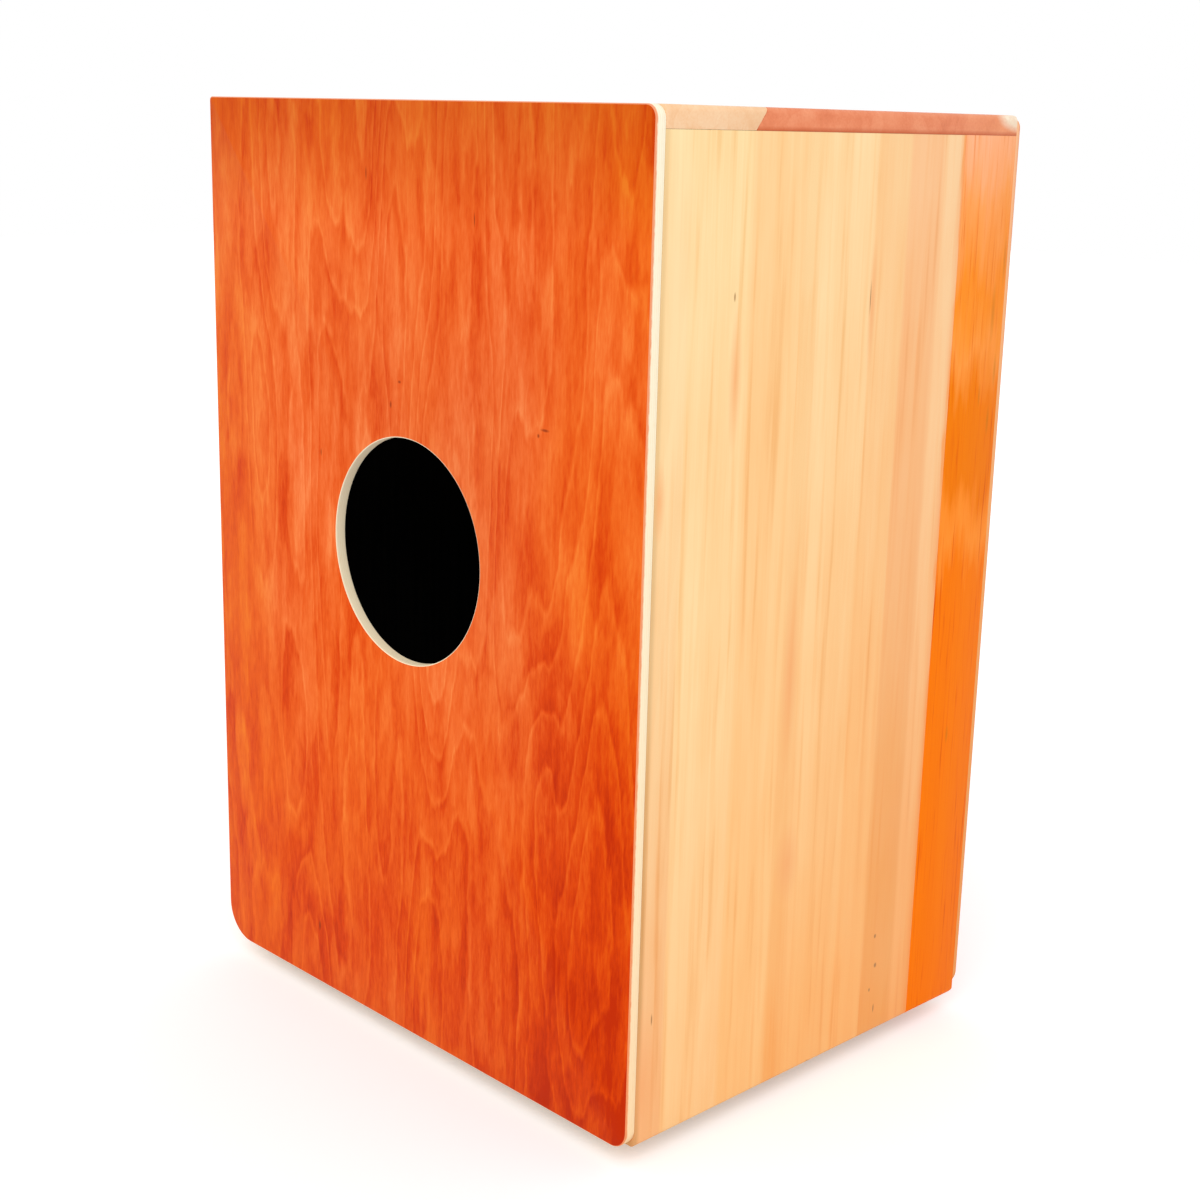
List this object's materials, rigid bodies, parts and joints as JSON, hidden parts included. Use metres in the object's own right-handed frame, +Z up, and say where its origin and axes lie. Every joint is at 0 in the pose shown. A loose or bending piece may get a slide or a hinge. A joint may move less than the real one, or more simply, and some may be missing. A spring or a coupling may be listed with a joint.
{
  "type": "cajon",
  "caption": "Box drum: pine board case, stained plywood back with a round sound hole, thin screwed playing face, rubber feet, and snare strips on a bar that turns inside.",
  "frame": {"origin": "on the floor under the middle of the box, in the plane of the feet's undersides", "axes": "+Z up, -Y the way the playing face looks, +Y the way the sound hole looks, +X to the seated player's left"},
  "size_m": [0.334, 0.262, 0.49],
  "materials": {
    "stained_plywood": "orange-red stain under satin lacquer, cream ply edge",
    "plate_plywood": "orange-red stain under satin lacquer",
    "pale_pine": "edge-glued staves, clear satin lacquer",
    "orange_pine": "orange stain under satin lacquer",
    "reddish_pine": "reddish stain under satin lacquer",
    "batten_pine": "sawn and unfinished",
    "beech": "sanded and unfinished",
    "felt": "pressed wool felt",
    "rubber": "moulded, matt",
    "zinc_steel": "zinc plated",
    "spring_steel": "bright nickel plated"
  },
  "bodies": {
    "box": {"back_panel": "stained_plywood", "block_screw_left_bottom": "zinc_steel", "block_screw_left_top": "zinc_steel", "block_screw_right_bottom": "zinc_steel", "block_screw_right_top": "zinc_steel", "bottom_board": "pale_pine", "corner_batten_bottom_left": "batten_pine", "corner_batten_bottom_right": "batten_pine", "corner_batten_top_left": "batten_pine", "corner_batten_top_right": "batten_pine", "felt_bush_left": "felt", "felt_bush_right": "felt", "foot_back_left": "rubber", "foot_back_right": "rubber", "foot_front_left": "rubber", "foot_front_right": "rubber", "foot_screw_back_left": "zinc_steel", "foot_screw_back_right": "zinc_steel", "foot_screw_front_left": "zinc_steel", "foot_screw_front_right": "zinc_steel", "front_plate": "plate_plywood", "plate_batten_bottom": "batten_pine", "plate_batten_top": "batten_pine", "plate_screw_bottom_1": "zinc_steel", "plate_screw_bottom_2": "zinc_steel", "plate_screw_bottom_3": "zinc_steel", "plate_screw_bottom_4": "zinc_steel", "plate_screw_left_1": "zinc_steel", "plate_screw_left_2": "zinc_steel", "plate_screw_left_3": "zinc_steel", "plate_screw_right_1": "zinc_steel", "plate_screw_right_2": "zinc_steel", "plate_screw_right_3": "zinc_steel", "plate_screw_top_1": "zinc_steel", "plate_screw_top_2": "zinc_steel", "plate_screw_top_3": "zinc_steel", "plate_screw_top_4": "zinc_steel", "seat_front_stave": "reddish_pine", "seat_rear_stave": "pale_pine", "side_front_stave_left": "orange_pine", "side_front_stave_right": "orange_pine", "side_panel_left": "pale_pine", "side_panel_right": "pale_pine", "snare_block_left": "beech", "snare_block_right": "beech"},
    "snare": {"anchor_plate_left": "spring_steel", "anchor_plate_right": "spring_steel", "anchor_screw_left_1": "zinc_steel", "anchor_screw_left_2": "zinc_steel", "anchor_screw_right_1": "zinc_steel", "anchor_screw_right_2": "zinc_steel", "end_plate_left": "spring_steel", "end_plate_right": "spring_steel", "snare_bar": "beech", "snare_wires_left": "spring_steel", "snare_wires_right": "spring_steel"}
  },
  "joints": [
    {"name": "snare_bar_turn", "type": "hinge", "parent": "box", "child": "snare", "pos_m": [0, -0.104, 0.3371], "axis": [-1, 0, 0], "range_deg": [0, 30]}
  ]
}
